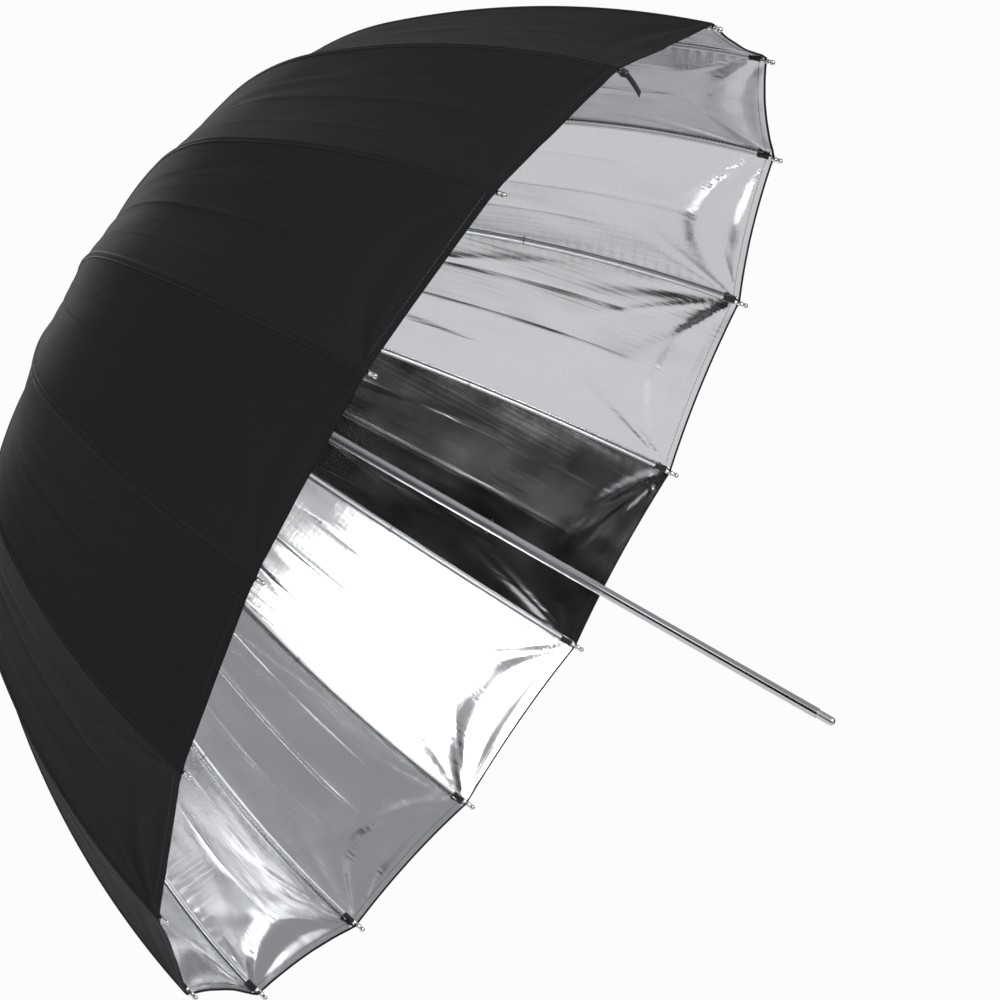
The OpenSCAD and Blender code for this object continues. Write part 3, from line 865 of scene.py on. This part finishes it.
# lengths past the end of the rib, and radii
TIP_PROFILE = ((-4.4, 1.74), (-4.1, 1.95), (-3.5, 1.98), (-3.1, 1.76), (-0.4, 1.76), (0.0, 1.95),
               (0.9, 2.1), (1.9, 2.0), (2.5, 1.76), (3.9, 1.75), (4.3, 1.9), (5.2, 2.08), (6.1, 2.0),
               (6.9, 1.5), (7.3, 0.8), (7.4, 0.3))
POCKET_START, POCKET_END = -14, -2.8
POCKET_LIFT = 0.55
POCKET_HIGH, POCKET_WIDE = 2.1, 2.15
for number, tag in enumerate(tags, 1):
    stations = [(RIB_LEN + past, 0, r, r) for past, r in TIP_PROFILE]
    cap = joined(f"tip_cap_{tag}", [sleeve(number, stations, 20)], plated_tip)
    rng = np.random.default_rng(7300 + number)
    stations = []
    for past in np.linspace(POCKET_START, POCKET_END, 12):
        phase = (past - POCKET_START) * 0.9 + rng.uniform(-0.3, 0.3)
        full = 0.86 + 0.14 * math.sin(phase) + rng.uniform(-0.04, 0.04)
        end = 0.85 if past in (POCKET_START, POCKET_END) else 1.0
        stations.append((RIB_LEN + past, POCKET_LIFT, POCKET_HIGH * end * (0.95 + 0.05 * full),
                         POCKET_WIDE * full * end))
    pocket = joined(f"tip_pocket_{tag}", [sleeve(number, stations, 18)], black_tape)
    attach(cap, f"rod_{tag}")
    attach(pocket, f"rod_{tag}")


# ---------------------------------------------------------------------------
# Rib ties
# The cloth is tied down to every rib at three places, each with two turns of
# fine thread through the seam allowance and round the rod.
# ---------------------------------------------------------------------------

ARM_TIES = (88,)
ROD_TIES = (250, 405)
TIE_TURNS = 2
TIE_PITCH = 0.55


def lashing(number, length):
    """A short coil of thread round a rib and up into the seam."""
    turn = np.linspace(0, TIE_TURNS * math.tau, 40)
    grip = 1.0 + 0.04 * np.sin(turn * 0.7)
    coil = np.stack([length - 0.8 + turn / math.tau * TIE_PITCH, 0.42 + 1.92 * grip * np.cos(turn),
                     1.62 * grip * np.sin(turn)], axis=-1)
    phi = np.arange(6) * math.tau / 6
    out, along = THREAD_R * np.cos(phi), THREAD_R * np.sin(phi)
    rings = [on_rib_line(number, at + along, up + out * math.cos(angle), side + out * math.sin(angle))
             for (at, up, side), angle in zip(coil, turn)]
    return loops(np.array(rings))


for number, tag in enumerate(tags, 1):
    for part, bone, spots in (("inner", "arm", ARM_TIES), ("outer", "rod", ROD_TIES)):
        ties = joined(f"rib_ties_{part}_{tag}", [lashing(number, spot) for spot in spots], black_thread)
        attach(ties, f"{bone}_{tag}")


# ---------------------------------------------------------------------------
# Tie strap
# A short black webbing strap with a heat-sealed end is looped round one rod
# tip. It wraps the closed canopy.
# ---------------------------------------------------------------------------

STRAP_RIB = 14
STRAP_LEN = 21.8
STRAP_HALF_W, STRAP_HALF_T = 2.2, 0.75
STRAP_EDGE = 0.15
STRAP_FALL = 0.015
# the loop's section, as lengths along the rod and radii round it
LOOP_SECTION = ((-2.0, 2.05), (2.0, 2.05), (2.25, 2.4), (2.2, 3.0), (-2.2, 3.0), (-2.25, 2.4))
loop_rings = [[on_rib_line(STRAP_RIB, RIB_LEN + 3.6 + along, r * math.cos(angle), r * math.sin(angle))
               for along, r in LOOP_SECTION] for angle in np.arange(24) * math.tau / 24]
ribbon = []
for down in np.linspace(0, 1, 26):
    length = RIB_LEN + 1.8 + STRAP_LEN * down
    lift = 2.9 + 0.5 * math.sin(2.6 * down) - 0.35 * math.sin(7 * down) * down
    thick = STRAP_HALF_T * (1.0 if down < 0.97 else 0.8)
    wide = STRAP_HALF_W + 0.06 * math.sin(40 * down)
    hang = np.array([0.0, 0.0, -STRAP_FALL * down ** 1.1])
    twist = -0.95 * float(ramp(down, 0.02, 0.35))
    section = ((-thick, -wide), (-thick, 0), (-thick, wide), (0, wide + STRAP_EDGE),
               (thick, wide), (thick, 0), (thick, -wide), (0, -wide - STRAP_EDGE))
    ribbon.append([on_rib_line(STRAP_RIB, length, lift + up * math.cos(twist) + side * math.sin(twist),
                               side * math.cos(twist) - up * math.sin(twist)) + hang for up, side in section])
strap = joined("tie_strap_webbing", [loops(np.array(loop_rings), ring=True), loops(np.array(ribbon))],
               black_tape)
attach(strap, f"rod_{STRAP_RIB}")
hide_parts("tie_strap")
